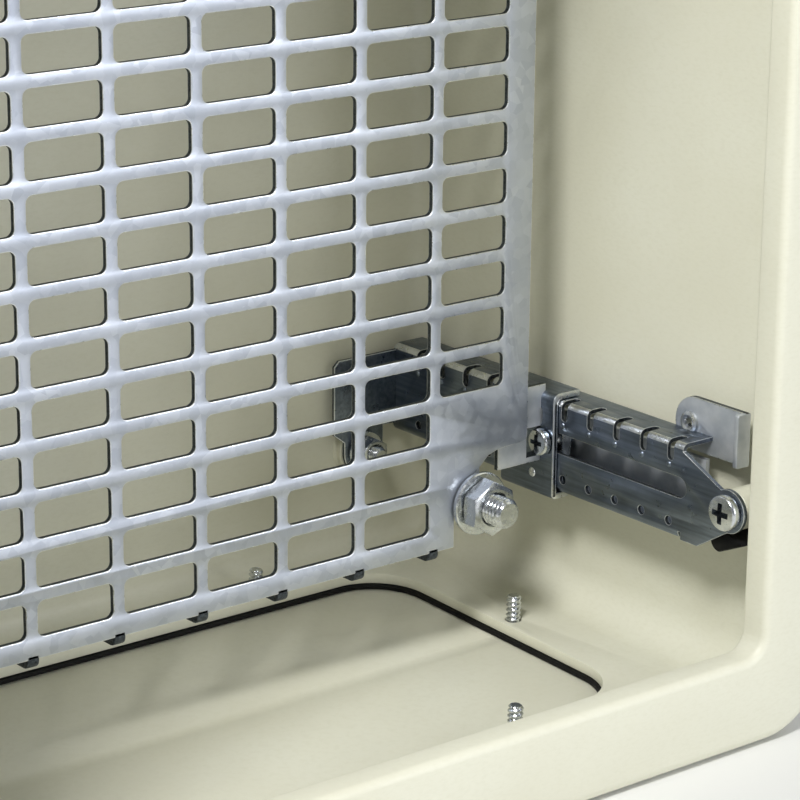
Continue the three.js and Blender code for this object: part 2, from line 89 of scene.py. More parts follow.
def softbox(name, place, target, width, height, power, colour=(1, 1, 1)):
    """A flat studio light in metres and watts, aimed at a target."""
    light = bpy.data.objects.new(name, bpy.data.lights.new(name, "AREA"))
    light.data.shape = "RECTANGLE"
    light.data.size = width
    light.data.size_y = height
    light.data.energy = power
    light.data.color = colour
    bpy.context.scene.collection.objects.link(light)
    aim = (Vector(target) - Vector(place)).to_track_quat("-Z", "Y")
    light.matrix_world = Matrix.Translation(Vector(place)) @ aim.to_matrix().to_4x4()
    return light


corner_aim = drawn(120, -90, -120)
softbox("key_left", (-0.471, -0.355, 0.835), corner_aim, 0.22, 0.22, 8.3, (1.0, 1.0, 0.98))
softbox("fill_front", (0.75, -1.9, 0.7), corner_aim, 1.4, 1.0, 20, (0.95, 0.97, 1.0))
softbox("top_soft", (0.1, -0.2, 2.2), (0, 0, 0.2), 2.0, 2.0, 2)
softbox("back_soft", (0.6, 1.9, 1.2), (0, 0, 0.2), 1.6, 1.2, 16)

world = bpy.data.worlds.new("studio")
bpy.context.scene.world = world
world.use_nodes = True
world.node_tree.nodes["Background"].inputs["Color"].default_value = (0.84, 0.87, 0.92, 1)
world.node_tree.nodes["Background"].inputs["Strength"].default_value = 0.25
bpy.context.scene.view_settings.view_transform = "Standard"

# ---------------------------------------------------------------- finishes


def shade(hex_value):
    """An sRGB hex value as the linear colour a shader takes."""
    channels = [int(hex_value[i : i + 2], 16) / 255 for i in (1, 3, 5)]
    linear = [c / 12.92 if c <= 0.04045 else ((c + 0.055) / 1.055) ** 2.4 for c in channels]
    return (*linear, 1)


def add_node(tree, kind, settings=None, values=None, links=None):
    """One node, its settings, its socket values, and the sockets that feed it."""
    node = tree.nodes.new(kind)
    for key, value in (settings or {}).items():
        setattr(node, key, value)
    for key, value in (values or {}).items():
        node.inputs[key].default_value = value
    for key, source in (links or {}).items():
        tree.links.new(source, node.inputs[key])
    return node


def per_metre(millimetres):
    return 1000 / millimetres


def finish(name, metallic=0.0, roughness=0.5, ior=1.5):
    material = bpy.data.materials.new(name)
    material.use_nodes = True
    tree = material.node_tree
    shader = tree.nodes["Principled BSDF"]
    shader.inputs["Metallic"].default_value = metallic
    shader.inputs["Roughness"].default_value = roughness
    shader.inputs["IOR"].default_value = ior
    place = add_node(tree, "ShaderNodeTexCoord").outputs["Object"]
    return material, tree, shader, place


def blotches(tree, place, size, detail=2.0, stretch=None):
    """Soft noise with features of a given size in millimetres, longer along an axis if stretched."""
    if stretch:
        mapping = add_node(
            tree, "ShaderNodeMapping", values={"Scale": stretch}, links={"Vector": place}
        )
        place = mapping.outputs["Vector"]
    return add_node(
        tree,
        "ShaderNodeTexNoise",
        values={"Scale": per_metre(size), "Detail": detail},
        links={"Vector": place},
    ).outputs["Fac"]


def spread(tree, source, low, high, from_low=0.3, from_high=0.7):
    """Stretches a pattern to run from one value to another."""
    return add_node(
        tree,
        "ShaderNodeMapRange",
        values={"From Min": from_low, "From Max": from_high, "To Min": low, "To Max": high},
        links={"Value": source},
    ).outputs["Result"]


def blend(tree, factor, first, second, mode="MIX"):
    """Mixes two colours by a pattern."""
    node = add_node(tree, "ShaderNodeMix", {"data_type": "RGBA", "blend_type": mode})
    for socket, source in ((0, factor), (6, first), (7, second)):
        if hasattr(source, "links"):
            tree.links.new(source, node.inputs[socket])
        else:
            node.inputs[socket].default_value = source
    return node.outputs[2]


def relief(tree, shader, height, strength, depth):
    """Turns a pattern into fine bumps, their depth in millimetres."""
    bump = add_node(
        tree,
        "ShaderNodeBump",
        values={"Strength": strength, "Distance": depth / 1000},
        links={"Height": height},
    )
    tree.links.new(bump.outputs["Normal"], shader.inputs["Normal"])


def moulded_polyester():
    """Glass-fibre polyester, hot pressed: an even warm grey with faint clouds from the resin flow,
    a slight orange peel and a dull gloss."""
    material, tree, shader, place = finish("moulded_polyester")
    clouds = spread(tree, blotches(tree, place, 55, 3), 0, 1)
    colour = blend(tree, clouds, shade("#DAD8C5"), shade("#E0DFCE"))
    fibres = spread(tree, blotches(tree, place, 2.2, 4, (1, 1, 2.4)), 0, 0.35, 0.45, 0.75)
    colour = blend(tree, fibres, colour, shade("#D3D1BC"))
    tree.links.new(colour, shader.inputs["Base Color"])
    gloss = spread(tree, blotches(tree, place, 18, 2), 0.4, 0.52)
    tree.links.new(gloss, shader.inputs["Roughness"])
    relief(tree, shader, blotches(tree, place, 1.4, 2), 0.25, 0.06)
    return material


def galvanised_sheet():
    """Strip-galvanised steel: pale grey zinc with a fine spangle whose grains differ a little in
    brightness and gloss."""
    material, tree, shader, place = finish("galvanised_sheet", metallic=0.9, roughness=0.42)
    grains = add_node(
        tree,
        "ShaderNodeTexVoronoi",
        values={"Scale": per_metre(3.2), "Randomness": 1.0},
        links={"Vector": place},
    )
    split = add_node(tree, "ShaderNodeSeparateColor", links={"Color": grains.outputs["Color"]})
    spangle = spread(tree, split.outputs["Red"], 0, 1, 0.0, 1.0)
    colour = blend(tree, spangle, shade("#B9BFCB"), shade("#CDD2DC"))
    dull = spread(tree, blotches(tree, place, 24, 3), 0, 0.5)
    colour = blend(tree, dull, colour, shade("#A6ACB8"))
    tree.links.new(colour, shader.inputs["Base Color"])
    gloss = spread(tree, split.outputs["Green"], 0.38, 0.5, 0.0, 1.0)
    tree.links.new(gloss, shader.inputs["Roughness"])
    relief(tree, shader, blotches(tree, place, 0.8, 3), 0.2, 0.03)
    return material


def rolled_slide_steel():
    """Pressed steel strip, zinc plated and left bare: a darker blue-grey with fine rolling lines
    along its length and a half gloss."""
    material, tree, shader, place = finish("rolled_slide_steel", metallic=1.0, roughness=0.32)
    lines = spread(tree, blotches(tree, place, 1.2, 3, (1, 0.05, 1)), 0, 1)
    colour = blend(tree, lines, shade("#6A737F"), shade("#8B94A1"))
    patches = spread(tree, blotches(tree, place, 14, 3), 0, 0.6)
    colour = blend(tree, patches, colour, shade("#5C646F"))
    tree.links.new(colour, shader.inputs["Base Color"])
    gloss = spread(tree, blotches(tree, place, 5, 2), 0.26, 0.42)
    tree.links.new(gloss, shader.inputs["Roughness"])
    relief(tree, shader, lines, 0.12, 0.02)
    return material


def bright_zinc():
    """Zinc-plated screws and nuts: nearly white metal, glossy, with a little cloudiness."""
    material, tree, shader, place = finish("bright_zinc", metallic=1.0, roughness=0.22)
    clouds = spread(tree, blotches(tree, place, 2.5, 2), 0, 1)
    colour = blend(tree, clouds, shade("#DDE0E2"), shade("#C9CDD1"))
    tree.links.new(colour, shader.inputs["Base Color"])
    gloss = spread(tree, blotches(tree, place, 1.5, 2), 0.16, 0.3)
    tree.links.new(gloss, shader.inputs["Roughness"])
    relief(tree, shader, blotches(tree, place, 0.7, 2), 0.15, 0.02)
    return material


def zinc_sheet():
    """Pressed sheet in a zinc paler than the slides, cloudy, nearly matt; on the lip behind the slide
    it is painted reflected light.
    """
    material, tree, shader, place = finish("zinc_sheet", metallic=0.7, roughness=0.5)
    clouds = spread(tree, blotches(tree, place, 6, 3), 0, 1)
    colour = blend(tree, clouds, shade("#BEC4CC"), shade("#D8DBE0"))
    tree.links.new(colour, shader.inputs["Base Color"])
    gloss = spread(tree, blotches(tree, place, 4, 2), 0.44, 0.58)
    tree.links.new(gloss, shader.inputs["Roughness"])
    relief(tree, shader, blotches(tree, place, 0.9, 2), 0.15, 0.02)
    return material


def painted_highlight_edge():
    """Painted highlight: a brighter, glossier zinc on edges and bends, standing in for the light they
    catch.
    """
    material, tree, shader, place = finish("painted_highlight_edge", metallic=1.0, roughness=0.3)
    patchy = spread(tree, blotches(tree, place, 3, 3), 0, 1)
    colour = blend(tree, patchy, shade("#E9EBEE"), shade("#C8CCD2"))
    tree.links.new(colour, shader.inputs["Base Color"])
    gloss = spread(tree, blotches(tree, place, 1.5, 2), 0.24, 0.4)
    tree.links.new(gloss, shader.inputs["Roughness"])
    return material


def sheared_edge_and_shade():
    """Punched walls of sheet steel: dark, torn at the far side, with no zinc to shine; the dark tone
    is partly painted shade, and it also darkens the plate's turned-back fingers and the screws' cross
    recesses as painted shade.
    """
    material, tree, shader, place = finish("sheared_edge_and_shade", metallic=1.0, roughness=0.5)
    torn = spread(tree, blotches(tree, place, 0.8, 3), 0, 1)
    colour = blend(tree, torn, shade("#33383E"), shade("#62686F"))
    tree.links.new(colour, shader.inputs["Base Color"])
    gloss = spread(tree, torn, 0.42, 0.6, 0.0, 1.0)
    tree.links.new(gloss, shader.inputs["Roughness"])
    relief(tree, shader, torn, 0.3, 0.05)
    return material


def black_rubber():
    """Moulded EPDM rubber: deep black, matt, with a fine grain from the mould."""
    material, tree, shader, place = finish("black_rubber", roughness=0.7, ior=1.52)
    shader.inputs["Specular IOR Level"].default_value = 0.25
    patchy = spread(tree, blotches(tree, place, 6, 2), 0, 1)
    colour = blend(tree, patchy, shade("#060606"), shade("#0C0C0B"))
    tree.links.new(colour, shader.inputs["Base Color"])
    gloss = spread(tree, blotches(tree, place, 3, 2), 0.6, 0.78)
    tree.links.new(gloss, shader.inputs["Roughness"])
    relief(tree, shader, blotches(tree, place, 0.9, 2), 0.3, 0.05)
    return material


def pale_floor():
    """Matt pale studio floor."""
    material, tree, shader, place = finish("pale_floor", roughness=0.8)
    shader.inputs["Base Color"].default_value = shade("#E4E4E2")
    return material


FINISHES = {
    "polyester": moulded_polyester(),
    "galvanised_sheet": galvanised_sheet(),
    "slide_steel": rolled_slide_steel(),
    "zinc_plate": bright_zinc(),
    "black_rubber": black_rubber(),
}
ZINC_SHEET = zinc_sheet()
PAINTED_HIGHLIGHT_EDGE = painted_highlight_edge()
SHEARED_EDGE_AND_SHADE = sheared_edge_and_shade()

# What a face of a piece is, kept as its material number: the sheet's own surface, an edge or bend
# with a painted highlight, a sheared wall darkened further as painted shade, or a paler zinc
MAIN, EDGE, CUT_AND_SHADE, PALE = range(4)
FACE_KINDS = 4

# ---------------------------------------------------------------- mesh work


def new_mesh(bm):
    mesh = bpy.data.meshes.new("blank")
    for _ in range(FACE_KINDS):
        mesh.materials.append(None)
    bm.to_mesh(mesh)
    bm.free()
    return mesh


def mesh_of(bm):
    bmesh.ops.remove_doubles(bm, verts=bm.verts, dist=1e-4)
    bmesh.ops.recalc_face_normals(bm, faces=bm.faces)
    return new_mesh(bm)


def evaluated(obj):
    """The finished mesh of an object with its modifiers applied. The object itself goes."""
    bpy.context.scene.collection.objects.link(obj)
    graph = bpy.context.evaluated_depsgraph_get()
    mesh = bpy.data.meshes.new_from_object(obj.evaluated_get(graph))
    bpy.data.objects.remove(obj)
    return mesh


def boolean(mesh, tool, operation="DIFFERENCE"):
    """Cuts one mesh with another, or welds it on."""
    tool_object = bpy.data.objects.new("tool", tool)
    bpy.context.scene.collection.objects.link(tool_object)
    obj = bpy.data.objects.new("work", mesh)
    modifier = obj.modifiers.new("cut", "BOOLEAN")
    modifier.operation = operation
    modifier.solver = "EXACT"
    modifier.object = tool_object
    result = evaluated(obj)
    bpy.data.objects.remove(tool_object)
    return result


def softened(mesh, width, degrees=35, segments=2):
    """Breaks the sharp edges; the new edge faces take the edge kind, a painted highlight on sheet
    metal.
    """
    obj = bpy.data.objects.new("work", mesh)
    modifier = obj.modifiers.new("edges", "BEVEL")
    modifier.width = width
    modifier.segments = segments
    modifier.limit_method = "ANGLE"
    modifier.angle_limit = math.radians(degrees)
    modifier.use_clamp_overlap = True
    modifier.material = EDGE
    return evaluated(obj)


def joined(meshes):
    """Several meshes as one."""
    bm = bmesh.new()
    for mesh in meshes:
        bm.from_mesh(mesh)
    return new_mesh(bm)


def marked(mesh, kind, chosen=lambda face: True):
    """Says what kind the chosen faces are."""
    for face in mesh.polygons:
        if chosen(face):
            face.material_index = kind
    return mesh


def moved(mesh, matrix):
    """A moved or mirrored copy of a mesh."""
    copy = mesh.copy()
    copy.transform(matrix)
    if matrix.determinant() < 0:
        copy.flip_normals()
    return copy


def flat_blank(outlines, thickness, edge=0.25, walls=CUT_AND_SHADE):
    """A flat piece cut from an outline with holes, centred in its thickness, edges rounded."""
    curve = bpy.data.curves.new("blank", "CURVE")
    curve.dimensions = "2D"
    curve.fill_mode = "BOTH"
    curve.extrude = thickness / 2 - edge
    curve.bevel_depth = edge
    curve.bevel_resolution = 1
    curve.offset = -edge
    for points in outlines:
        spline = curve.splines.new("POLY")
        spline.points.add(len(points) - 1)
        for target, (u, v) in zip(spline.points, points):
            target.co = (u, v, 0, 1)
        spline.use_cyclic_u = True
    mesh = evaluated(bpy.data.objects.new("blank", curve))
    bm = bmesh.new()
    bm.from_mesh(mesh)
    sheet = mesh_of(bm)
    # Rounded edges take the edge kind, a painted highlight; the straight walls take the dark kind,
    # partly painted shade
    for face in sheet.polygons:
        tilt = abs(face.normal.z)
        face.material_index = MAIN if tilt > 0.98 else EDGE if tilt > 0.05 else walls
    return sheet


def upright_xz(y_middle):
    """Turns a flat blank so that its outline lies in X and Z, middle of its thickness at Y."""
    return Matrix.Translation((0, y_middle, 0)) @ Matrix(
        ((1, 0, 0, 0), (0, 0, -1, 0), (0, 1, 0, 0), (0, 0, 0, 1))
    )


def upright_yz(x_middle):
    """Turns a flat blank so that its outline lies in Y and Z, middle of its thickness at X."""
    return Matrix.Translation((x_middle, 0, 0)) @ Matrix(
        ((0, 0, 1, 0), (1, 0, 0, 0), (0, 1, 0, 0), (0, 0, 0, 1))
    )


def arc(cx, cy, radius, start, end, steps=8):
    points = []
    for i in range(steps + 1):
        angle = math.radians(start + (end - start) * i / steps)
        points.append((cx + radius * math.cos(angle), cy + radius * math.sin(angle)))
    return points


def rounded(half_u, half_v, radius, cu=0.0, cv=0.0, steps=4):
    """The outline of a rectangle with round corners."""
    points = []
    for quarter, (su, sv) in enumerate(((1, 1), (-1, 1), (-1, -1), (1, -1))):
        points += arc(
            cu + su * (half_u - radius),
            cv + sv * (half_v - radius),
            radius,
            90 * quarter,
            90 * quarter + 90,
            steps,
        )
    return points


def circle(cu, cv, radius, steps=32):
    return arc(cu, cv, radius, 0, 360 - 360 / steps, steps - 1)


def turned(profile, steps=48, closed=False):
    """A lathe piece from (radius, height) pairs. Open profiles start and end on the axis."""
    bm = bmesh.new()
    rings = []
    for radius, height in profile:
        if radius < 1e-6:
            rings.append([bm.verts.new((0, 0, height))])
            continue
        ring = []
        for i in range(steps):
            angle = 2 * math.pi * i / steps
            ring.append(bm.verts.new((radius * math.cos(angle), radius * math.sin(angle), height)))
        rings.append(ring)
    pairs = list(zip(rings, rings[1:]))
    if closed:
        pairs.append((rings[-1], rings[0]))
    for low, high in pairs:
        for i in range(steps):
            j = (i + 1) % steps
            corner = [low[i % len(low)], low[j % len(low)], high[j % len(high)], high[i % len(high)]]
            unique = list(dict.fromkeys(corner))
            if len(unique) > 2:
                bm.faces.new(unique)
    return mesh_of(bm)


def threaded(radius, pitch, length, depth, lead=1.0, steps=40):
    """A threaded rod along +Z from 0, with both ends chamfered."""
    bm = bmesh.new()
    per_turn = 6
    rows = max(4, int(length / pitch * per_turn))
    rings = []
    for row in range(rows + 1):
        height = length * row / rows
        ring = []
        for i in range(steps):
            turn_share = i / steps
            phase = (height / pitch - turn_share) % 1.0
            crest = 1 - abs(2 * phase - 1)
            reach = radius - depth * (1 - min(1.0, crest * 1.35))
            chamfer = min(height, length - height)
            reach = min(reach, radius - lead + chamfer) if chamfer < lead else reach
            angle = 2 * math.pi * turn_share
            ring.append(bm.verts.new((reach * math.cos(angle), reach * math.sin(angle), height)))
        rings.append(ring)
    for low, high in zip(rings, rings[1:]):
        for i in range(steps):
            j = (i + 1) % steps
            bm.faces.new((low[i], low[j], high[j], high[i]))
    bm.faces.new(list(reversed(rings[0])))
    bm.faces.new(rings[-1])
    return mesh_of(bm)


def hexagon_nut(flats, height, bore, steps=72):
    """A chamfered hexagon nut standing on Z = 0."""
    bm = bmesh.new()
    face_radius = 0.475 * flats
    slope = math.tan(math.radians(30))
    rings = [[], [], [], [], [], [], [], []]
    for i in range(steps):
        angle = 2 * math.pi * i / steps
        within = (angle + math.pi / 6) % (math.pi / 3) - math.pi / 6
        side = flats / 2 / math.cos(within)
        drop = (side - face_radius) * slope
        rows = (
            (bore, 0.5),
            (bore + 0.5, 0),
            (face_radius, 0),
            (side, drop),
            (side, height - drop),
            (face_radius, height),
            (bore + 0.5, height),
            (bore, height - 0.5),
        )
        for ring, (radius, z) in zip(rings, rows):
            ring.append(bm.verts.new((radius * math.cos(angle), radius * math.sin(angle), z)))
    for low, high in zip(rings, rings[1:] + rings[:1]):
        for i in range(steps):
            j = (i + 1) % steps
            bm.faces.new((low[i], low[j], high[j], high[i]))
    return mesh_of(bm)


def ring_washer(radius, bore, thickness, edge=0.25):
    """A flat washer standing on Z = 0."""
    return turned(
        [
            (bore, edge),
            (bore + edge, 0),
            (radius - edge, 0),
            (radius, edge),
            (radius, thickness - edge),
            (radius - edge, thickness),
            (bore + edge, thickness),
            (bore, thickness - edge),
        ],
        64,
        closed=True,
    )


def cross_recess(span, depth, arm):
    """The cutter for a cross recess: a plus shape that narrows downwards from Z = 0."""
    bm = bmesh.new()
    rows = []
    for z, half, width in ((0.5, span / 2, arm / 2), (-depth, span * 0.3, arm * 0.35)):
        plus = []
        for quarter in range(4):
            c, s = round(math.cos(math.pi / 2 * quarter)), round(math.sin(math.pi / 2 * quarter))
            for x, y in ((half, -width), (half, width), (width, width)):
                plus.append(bm.verts.new((c * x - s * y, s * x + c * y, z)))
        rows.append(plus)
    top, low = rows
    bm.faces.new(top)
    bm.faces.new(list(reversed(low)))
    for i in range(12):
        j = (i + 1) % 12
        bm.faces.new((top[j], top[i], low[i], low[j]))
    bmesh.ops.recalc_face_normals(bm, faces=bm.faces)
    # The recess walls take the dark kind: painted shade inside the recess
    return marked(new_mesh(bm), CUT_AND_SHADE)


def pan_screw(head_radius, head_height, shank_radius, shank_length, pitch):
    """A pan-head screw: the head's underside is at Z = 0, the head up, the shank down."""
    dome = []
    for i in range(9):
        angle = math.radians(90 * i / 8)
        radius = head_radius - 0.9 + 0.9 * math.cos(angle)
        dome.append((radius, head_height * 0.45 + head_height * 0.4 * math.sin(angle)))
    profile = [(0, 0), (head_radius - 0.3, 0), (head_radius, 0.3)] + dome
    profile += [(head_radius * 0.5, head_height * 0.97), (0, head_height)]
    head = turned(profile, 56)
    recess = moved(
        cross_recess(head_radius * 1.3, head_height * 0.7, head_radius * 0.34),
        Matrix.Translation((0, 0, head_height)),
    )
    head = boolean(head, recess)
    shank = threaded(shank_radius, pitch, shank_length + 0.3, pitch * 0.45, 0.6, 28)
    shank = moved(shank, Matrix.Translation((0, 0, -shank_length)))
    return joined([head, shank])


def block(x0, x1, y0, y1, z0, z1):
    """A plain cutter."""
    bm = bmesh.new()
    bmesh.ops.create_cube(bm, size=1)
    size = Matrix.Diagonal((x1 - x0, y1 - y0, z1 - z0, 1))
    place = Matrix.Translation(((x0 + x1) / 2, (y0 + y1) / 2, (z0 + z1) / 2))
    bmesh.ops.transform(bm, matrix=place @ size, verts=bm.verts)
    return mesh_of(bm)


def cutter_of(outlines, upright, half_depth):
    """Sharp-edged cutters from outlines."""
    return joined([moved(flat_blank([o], 2 * half_depth, 1e-3), upright) for o in outlines])


FACE_FINISHES = {
    "galvanised_sheet": [FINISHES["galvanised_sheet"], PAINTED_HIGHLIGHT_EDGE, SHEARED_EDGE_AND_SHADE, ZINC_SHEET],
    "slide_steel": [FINISHES["slide_steel"], PAINTED_HIGHLIGHT_EDGE, SHEARED_EDGE_AND_SHADE, ZINC_SHEET],
    # On screws the dark kind is the cross recess: painted shade
    "zinc_plate": [
        FINISHES["zinc_plate"],
        FINISHES["zinc_plate"],
        SHEARED_EDGE_AND_SHADE,
        FINISHES["zinc_plate"],
    ],
}


def piece(name, mesh, slot, body, nodes, smooth=38, main=None):
    """Puts a finished mesh into the scene: drawing millimetres to scene metres, smooth where the
    surface bends less than the given angle."""
    mesh.transform(TO_SCENE)
    kinds = FACE_FINISHES.get(slot, [FINISHES[slot]] * FACE_KINDS)
    for kind, material in enumerate(kinds):
        mesh.materials[kind] = material
    if main:
        mesh.materials[MAIN] = main
    mesh.polygons.foreach_set("use_smooth", [True] * len(mesh.polygons))
    mesh.set_sharp_from_angle(angle=math.radians(smooth))
    mesh.name = name
    obj = bpy.data.objects.new(name, mesh)
    bpy.context.scene.collection.objects.link(obj)
    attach(obj, body)
    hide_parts(*nodes)
    return obj


def at_corner(side, up):
    """Mirrors a piece drawn for the lower right corner into another one."""
    return Matrix.Diagonal((side, 1, up, 1))


def along(direction, place):
    """Stands a lathe piece, drawn up +Z, along a direction from a place."""
    aim = Vector(direction).to_track_quat("Z", "Y").to_matrix().to_4x4()
    return Matrix.Translation(Vector(place)) @ aim


# ---------------------------------------------------------------- moulded tub

WALL = 3.5
DEPTH = 190
INNER_X = 153.5
INNER_Z = 199
DRAFT = 6
RIM_BACK = -180
RIM_OUTSIDE_X = 169.5
RIM_OUTSIDE_Z = 215
RIM_OPEN_X = 140
RIM_OPEN_Z = 185.5
COVE = 6
OPENING_HALF_X = 122
OPENING_HALF_Y = 62
OPENING_RADIUS = 20
OPENING_MIDDLE_Y = -87
GLAND_MARGIN = 12
DRAFT_ANGLE = math.atan(DRAFT / (-WALL - RIM_BACK))


def spread_at(y):
    """How far the drafted walls have widened at a depth."""
    return DRAFT * (-WALL - y) / (-WALL - RIM_BACK)


FLOOR_OUTER_Z = -(INNER_Z + WALL + spread_at(OPENING_MIDDLE_Y))
ON_FLOOR = Matrix.Translation((0, OPENING_MIDDLE_Y, FLOOR_OUTER_Z)) @ Matrix.Rotation(
    DRAFT_ANGLE, 4, "X"
)


def tub_mesh():
    """One skin from the middle of the inside back, forward along the walls, round the rim and back."""
    rows = []

    def row(y, half_x, half_z, radius):
        rows.append((y, half_x, half_z, radius))

    def wall_rows(thickness, back, corner_back, corner_front, front):
        found = []
        for i in range(9):
            angle = math.radians(90 * i / 8)
            y = back - COVE * (1 - math.cos(angle))
            grow = spread_at(y) + thickness - COVE * (1 - math.sin(angle))
            found.append((y, INNER_X + grow, INNER_Z + grow, corner_back))
        grow = spread_at(front) + thickness
        found.append((front, INNER_X + grow, INNER_Z + grow, corner_front))
        return found

    def round_rim(y, half_x, half_z, radius, edge, start, end):
        """An edge rounded between two directions, 0 outward in X and 90 towards the front."""
        for i in range(5):
            angle = math.radians(start + (end - start) * i / 4)
            out = edge * math.cos(angle)
            row(y - edge * math.sin(angle), half_x + out, half_z + out, radius + out)

    rows += wall_rows(0, -WALL, 10, 16, RIM_BACK + 2)
    grow = spread_at(RIM_BACK)
    for i in range(1, 5):
        angle = math.radians(90 * i / 4)
        inset = 2 * (1 - math.cos(angle))
        row(RIM_BACK + 2 - 2 * math.sin(angle), INNER_X + grow - inset, INNER_Z + grow - inset, 15)
    inner_edge = 1.0
    front_edge = 2.6
    outer_edge = 4.0
    round_rim(
        RIM_BACK - inner_edge,
        RIM_OPEN_X + inner_edge,
        RIM_OPEN_Z + inner_edge,
        8,
        inner_edge,
        -90,
        -180,
    )
    round_rim(
        front_edge - DEPTH, RIM_OPEN_X + front_edge, RIM_OPEN_Z + front_edge, 9.6, front_edge, 180, 90
    )
    round_rim(
        outer_edge - DEPTH,
        RIM_OUTSIDE_X - outer_edge,
        RIM_OUTSIDE_Z - outer_edge,
        22,
        outer_edge,
        90,
        0,
    )
    round_rim(
        RIM_BACK - 1.0, RIM_OUTSIDE_X - 1.0, RIM_OUTSIDE_Z - 1.0, 25, 1.0, 0, -90
    )
    outside = list(reversed(wall_rows(WALL, 0, 14, 20, RIM_BACK)))
    rows += outside

    bm = bmesh.new()
    rings = []
    for y, half_x, half_z, radius in rows:
        outline = rounded(half_x, half_z, radius, steps=10)
        rings.append([bm.verts.new((x, y, z)) for x, z in outline])
    count = len(rings[0])
    for low, high in zip(rings, rings[1:]):
        for i in range(count):
            j = (i + 1) % count
            bm.faces.new((low[i], low[j], high[j], high[i]))
    bm.faces.new(rings[0])
    bm.faces.new(list(reversed(rings[-1])))
    return mesh_of(bm)


REAR_STUD = (125, -162.5)
NOSE = (-172.5, -143)
BOSS_START = 140.8


def corner_bosses():
    """A pad for each rear stud and a boss for each front screw."""
    pad = turned([(0, -3), (9.6, -3), (9.6, 0.4), (9.0, 1.2), (9.0, 3.1), (8.6, 3.5), (0, 3.5)])
    boss = turned([(0, 0), (6.0, 0), (6.5, 0.5), (6.5, 14), (7.0, 16.5), (8.2, 19), (0, 19)])
    meshes = []
    for side, up in CORNERS.values():
        meshes.append(moved(pad, along((0, -1, 0), (side * REAR_STUD[0], -WALL, up * REAR_STUD[1]))))
        meshes.append(moved(boss, along((side, 0, 0), (side * BOSS_START, NOSE[0], up * NOSE[1]))))
    return joined(meshes)


GLAND_SCREW_X = 70
GLAND_HOLE = 2.8
GLAND_SCREWS = (
    (OPENING_HALF_X + 5, 0),
    (-OPENING_HALF_X - 5, 0),
    (GLAND_SCREW_X, OPENING_HALF_Y + 5),
    (-GLAND_SCREW_X, OPENING_HALF_Y + 5),
    (GLAND_SCREW_X, -OPENING_HALF_Y - 5),
    (-GLAND_SCREW_X, -OPENING_HALF_Y - 5),
)


def floor_cutter(low, high):
    """Cuts the floor opening and the holes for the gland screws."""
    outlines = [circle(x, y, GLAND_HOLE, 24) for x, y in GLAND_SCREWS]
    outlines.append(rounded(OPENING_HALF_X, OPENING_HALF_Y, OPENING_RADIUS, steps=12))
    middle = Matrix.Translation((0, 0, (low + high) / 2))
    return moved(cutter_of(outlines, middle, (high - low) / 2), ON_FLOOR)


tub = boolean(tub_mesh(), corner_bosses(), "UNION")
tub = boolean(tub, floor_cutter(-5, WALL + 5))
tub = softened(tub, 0.5, 50)
piece("tub", tub, "polyester", "enclosure", ["enclosure_body"], 32)

# ---------------------------------------------------------------- gland plate

GAP = 0.3
GASKET = 1.5
GLAND_THICK = 2.5
GASKET_LIP = 1.2


def gland_layer(low, high, hole=None, edge=0.4):
    """A sheet under the floor opening with the screw holes, open in the middle for the seal."""
    outlines = [
        rounded(
            OPENING_HALF_X + GLAND_MARGIN,
            OPENING_HALF_Y + GLAND_MARGIN,
            OPENING_RADIUS + GLAND_MARGIN,
            steps=12,
        )
    ]
    outlines += [circle(x, y, GLAND_HOLE, 24) for x, y in GLAND_SCREWS]
    if hole is not None:
        outlines.append(
            rounded(OPENING_HALF_X - hole, OPENING_HALF_Y - hole, OPENING_RADIUS - hole, steps=12)
        )
    sheet = flat_blank(outlines, high - low, edge)
    return moved(sheet, ON_FLOOR @ Matrix.Translation((0, 0, (low + high) / 2)))


GASKET_LOW = -GAP - GASKET
GLAND_TOP = GASKET_LOW - GAP
GLAND_LOW = GLAND_TOP - GLAND_THICK
piece("gland_cover", gland_layer(GLAND_LOW, GLAND_TOP), "polyester", "enclosure", ["gland_plate"])
piece(
    "gland_seal",
    gland_layer(GASKET_LOW, -GAP, GASKET_LIP, 0.3),
    "black_rubber",
    "enclosure",
    ["gland_gasket"],
)
for number, (x, y) in enumerate(GLAND_SCREWS, 1):
    screw = pan_screw(4.4, 2.2, 2.45, GLAND_THICK + GASKET + WALL + 9.6, 1.7)
    place = ON_FLOOR @ Matrix.Translation((x, y, GLAND_LOW - GAP)) @ Matrix.Rotation(math.pi, 4, "X")
    piece(
        f"gland_bolt_{number}",
        moved(screw, place),
        "zinc_plate",
        "enclosure",
        [f"gland_screw_{number}"],
    )

# ---------------------------------------------------------------- slotted mounting plate

PITCH_X, PITCH_Z = 30, 15
SLOT_X, SLOT_Z = 26, 11
COLUMNS, ROWS = 8, 22
PLATE_HALF_X, PLATE_HALF_Z = 129, 169.5
PLATE_FRONT = -90
PLATE_THICK = 2
SLOT_RADIUS = 2.2
GUSSET_ROWS = 3
STUD = (108, -156)


def plate_edge():
    """The plate's outline, with a notch at each corner for the large stud."""
    quarter = arc(STUD[0], STUD[1], 9.5, 180, 102, 12)
    quarter = [(STUD[0] - 9.5, -PLATE_HALF_Z)] + quarter
    quarter += [
        (STUD[0] + 1.5, STUD[1] + 12.2),
        (STUD[0] + 4.5, STUD[1] + 15),
        (STUD[0] + 8.5, STUD[1] + 16.2),
        (STUD[0] + 12, STUD[1] + 16.5),
        (PLATE_HALF_X - 1.5, STUD[1] + 16.8),
        (PLATE_HALF_X - 0.4, STUD[1] + 17.3),
        (PLATE_HALF_X, STUD[1] + 18.5),
    ]
    edge = list(quarter)
    edge += [(x, -z) for x, z in reversed(quarter)]
    edge += [(-x, -z) for x, z in quarter]
    edge += [(-x, z) for x, z in reversed(quarter)]
    return edge


